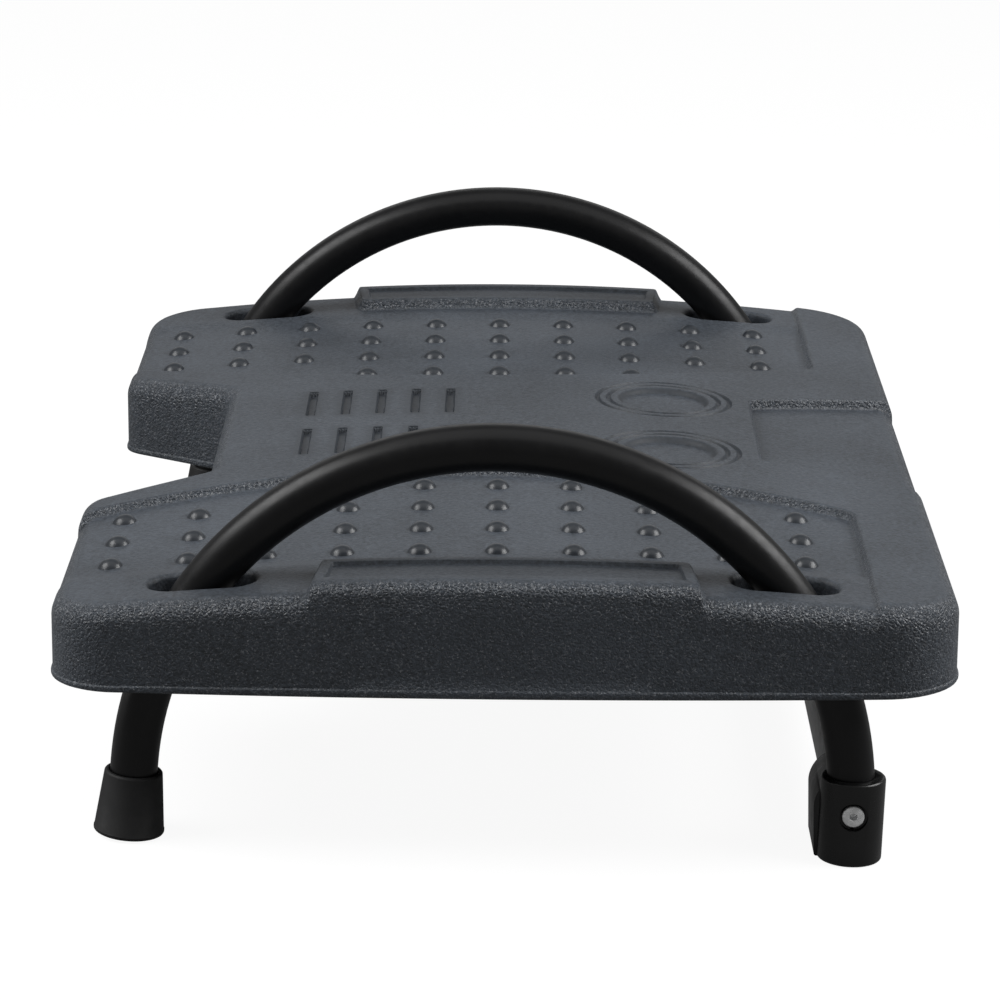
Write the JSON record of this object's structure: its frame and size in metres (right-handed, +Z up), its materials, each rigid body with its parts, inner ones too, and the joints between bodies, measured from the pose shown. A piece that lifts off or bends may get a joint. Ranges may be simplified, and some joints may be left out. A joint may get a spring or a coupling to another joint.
{
  "type": "tilting under desk footrest",
  "caption": "Tilting under desk footrest: a wide moulded tray with raised middle and massage domes that rocks along bent steel side tubes on rubber and plastic feet.",
  "frame": {"origin": "on the floor, under the middle of the footrest's bounding box", "axes": "+X from the heel edge to the toe edge, +Y to the user's left along the wide tray, +Z up from the floor"},
  "size_m": [0.3396, 0.493, 0.1649],
  "materials": {
    "tray_plastic": "moulded slate grey plastic with a fine leather grain",
    "black_tube": "satin black powder coat",
    "cap_rubber": "matt black rubber",
    "foot_plastic": "semi gloss black moulded plastic",
    "grey_tube": "light grey paint",
    "screw_steel": "bright zinc plate",
    "guide_plastic": "dark grey moulded plastic",
    "liner_felt": "grey friction felt"
  },
  "bodies": {
    "stand": {"cross_tube": "grey_tube", "right_arc_tube": "black_tube", "right_heel_cap": "cap_rubber", "right_toe_foot": "foot_plastic", "right_foot_screw": "screw_steel", "right_tube_plug": "screw_steel", "left_arc_tube": "black_tube", "left_heel_cap": "cap_rubber", "left_toe_foot": "foot_plastic", "left_foot_screw": "screw_steel", "left_tube_plug": "screw_steel"},
    "tilting_tray": {"tray": "tray_plastic", "right_heel_guide": "guide_plastic", "right_heel_liner": "liner_felt", "right_heel_outer_screw": "screw_steel", "right_heel_inner_screw": "screw_steel", "right_toe_guide": "guide_plastic", "right_toe_liner": "liner_felt", "right_toe_outer_screw": "screw_steel", "right_toe_inner_screw": "screw_steel", "left_heel_guide": "guide_plastic", "left_heel_liner": "liner_felt", "left_heel_outer_screw": "screw_steel", "left_heel_inner_screw": "screw_steel", "left_toe_guide": "guide_plastic", "left_toe_liner": "liner_felt", "left_toe_outer_screw": "screw_steel", "left_toe_inner_screw": "screw_steel"}
  },
  "joints": [
    {"name": "tray_tilt", "type": "hinge", "parent": "stand", "child": "tilting_tray", "pos_m": [-0.00217, 0, 0.0204], "axis": [0, -1, 0], "range_deg": [-15, 15]}
  ]
}
